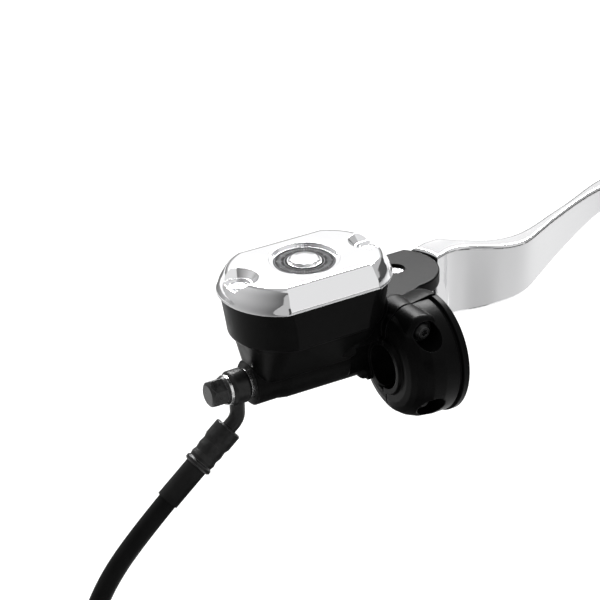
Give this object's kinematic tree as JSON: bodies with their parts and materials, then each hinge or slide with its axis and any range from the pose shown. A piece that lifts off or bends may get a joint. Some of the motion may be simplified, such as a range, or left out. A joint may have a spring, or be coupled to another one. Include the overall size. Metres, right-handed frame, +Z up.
{
  "type": "brake master cylinder",
  "caption": "Handlebar brake master cylinder with an integral fluid bowl, bright oval cover, split bar clamp, pivoting polished lever and a rubber brake hose on a banjo fitting.",
  "frame": {"origin": "middle of the bar clamp, on the handlebar's axis", "axes": "+X outboard along the handlebar, +Y forward away from the rider, +Z up"},
  "size_m": [0.4609, 0.2094, 0.2161],
  "materials": {
    "satin_black_housing": "satin black powder coat over cast aluminium",
    "polished_chrome": "polished chrome plate over cast aluminium",
    "badge_ring": null,
    "polished_lever": "polished chrome plate over cast aluminium",
    "zinc_screw": "bright plate",
    "black_fastener": "black zinc",
    "black_fitting": "semi-gloss black coat",
    "crush_washer": "plain soft metal with a bonded rim",
    "hose_rubber": "matt black rubber",
    "soft_rubber": "moulded black rubber",
    "bare_steel": "plain spring steel",
    "anodised_piston": "hard anodised",
    "bronze_bush": "sintered bronze"
  },
  "bodies": {
    "housing": {"housing": "satin_black_housing", "reservoir_cover": "polished_chrome", "medallion_ring": "badge_ring", "medallion_button": "polished_chrome", "cover_screw_inboard": "zinc_screw", "cover_screw_outboard": "zinc_screw", "diaphragm": "soft_rubber", "port_baffle": "bare_steel", "clamp_cap": "satin_black_housing", "clamp_bolt_upper": "black_fastener", "clamp_bolt_lower": "black_fastener", "clamp_washer_upper": "black_fastener", "clamp_washer_lower": "black_fastener", "banjo_bolt": "black_fastener", "crush_washer_inner": "crush_washer", "crush_washer_outer": "crush_washer", "banjo_fitting": "black_fitting", "hose_ferrule": "black_fitting", "hose_sleeve": "hose_rubber", "brake_hose": "hose_rubber", "hose_coil": "hose_rubber", "hose_end_ferrule": "black_fitting", "hose_end_banjo": "black_fitting", "pivot_pin": "zinc_screw", "pivot_circlip": "bare_steel", "piston_circlip": "bare_steel", "stop_washer": "bare_steel", "return_spring": "bare_steel", "dust_boot": "soft_rubber"},
    "lever": {"brake_lever": "polished_lever", "lever_bush": "bronze_bush"},
    "piston": {"piston": "anodised_piston", "primary_cup": "soft_rubber", "secondary_cup": "soft_rubber", "push_rod": "bare_steel"}
  },
  "joints": [
    {"name": "lever_pivot", "type": "hinge", "parent": "housing", "child": "lever", "pos_m": [0.021, 0.047, 0.007], "axis": [0, 0, -1], "range_deg": [0, 15], "stiffness_Nm_per_rad": 1.5, "springref_deg": -14.32},
    {"name": "piston_slide", "type": "slide", "parent": "housing", "child": "piston", "axis": [-1, 0, 0], "range_m": [0, 0.0065], "deforming": ["return_spring", "dust_boot"]}
  ],
  "couplings": [
    {"joint": "piston_slide", "follows": "lever_pivot", "m_per_rad": 0.022}
  ]
}
